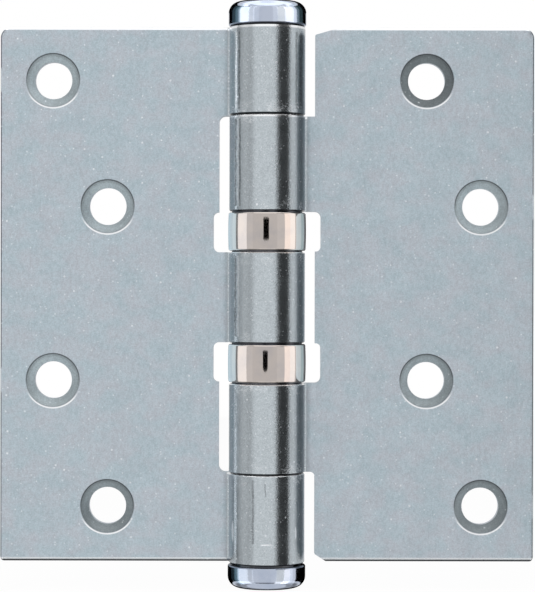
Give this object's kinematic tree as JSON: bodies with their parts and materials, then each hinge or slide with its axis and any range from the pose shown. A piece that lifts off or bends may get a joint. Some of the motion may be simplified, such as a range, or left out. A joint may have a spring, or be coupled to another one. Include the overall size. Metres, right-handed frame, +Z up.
{
  "type": "ball bearing butt hinge",
  "caption": "Square steel butt hinge opened flat: two staggered-hole leaves with rolled knuckles on a capped pin, turning on ball bearing units.",
  "frame": {"origin": "on the pin's axis at the leaves' mid height", "axes": "+Z up along the pin; the three-knuckle leaf lies towards -X and the two-knuckle leaf towards +X; the countersunk faces look along -Y and the backs along +Y"},
  "size_m": [0.089, 0.013, 0.0976],
  "materials": {
    "leaf_steel": "satin bright zinc plating on pressed steel sheet",
    "pin_steel": "ground steel, lightly oiled",
    "cap_chrome": "polished bright chromium plating",
    "shell_nickel": "polished nickel plating, slightly warm",
    "race_steel": "hardened and ground steel",
    "cage_plastic": "natural moulded nylon",
    "ball_steel": "lapped bearing steel"
  },
  "bodies": {
    "fixed_leaf": {"three_knuckle_leaf": "leaf_steel", "hinge_pin": "pin_steel", "top_cap": "cap_chrome", "bottom_cap": "cap_chrome", "upper_bearing_bottom_race": "race_steel", "upper_bearing_shell": "shell_nickel", "lower_bearing_top_race": "race_steel", "lower_bearing_shell": "shell_nickel"},
    "swing_leaf": {"two_knuckle_leaf": "leaf_steel", "upper_bearing_top_race": "race_steel", "lower_bearing_bottom_race": "race_steel"},
    "upper_ball_ring": {"upper_bearing_cage": "cage_plastic", "upper_bearing_ball_01": "ball_steel", "upper_bearing_ball_02": "ball_steel", "upper_bearing_ball_03": "ball_steel", "upper_bearing_ball_04": "ball_steel", "upper_bearing_ball_05": "ball_steel", "upper_bearing_ball_06": "ball_steel", "upper_bearing_ball_07": "ball_steel", "upper_bearing_ball_08": "ball_steel", "upper_bearing_ball_09": "ball_steel", "upper_bearing_ball_10": "ball_steel"},
    "lower_ball_ring": {"lower_bearing_cage": "cage_plastic", "lower_bearing_ball_01": "ball_steel", "lower_bearing_ball_02": "ball_steel", "lower_bearing_ball_03": "ball_steel", "lower_bearing_ball_04": "ball_steel", "lower_bearing_ball_05": "ball_steel", "lower_bearing_ball_06": "ball_steel", "lower_bearing_ball_07": "ball_steel", "lower_bearing_ball_08": "ball_steel", "lower_bearing_ball_09": "ball_steel", "lower_bearing_ball_10": "ball_steel"}
  },
  "joints": [
    {"name": "leaf_swing", "type": "hinge", "parent": "fixed_leaf", "child": "swing_leaf", "pos_m": [0, 0, 0], "axis": [0, 0, -1], "range_deg": [-120, 180]},
    {"name": "upper_ring_roll", "type": "hinge", "parent": "fixed_leaf", "child": "upper_ball_ring", "pos_m": [0, 0, 0.01045], "axis": [0, 0, -1], "range_deg": [-60, 90]},
    {"name": "lower_ring_roll", "type": "hinge", "parent": "fixed_leaf", "child": "lower_ball_ring", "pos_m": [0, 0, -0.01135], "axis": [0, 0, -1], "range_deg": [-60, 90]}
  ],
  "couplings": [
    {"joint": "upper_ring_roll", "follows": "leaf_swing", "ratio": 0.5},
    {"joint": "lower_ring_roll", "follows": "leaf_swing", "ratio": 0.5}
  ]
}
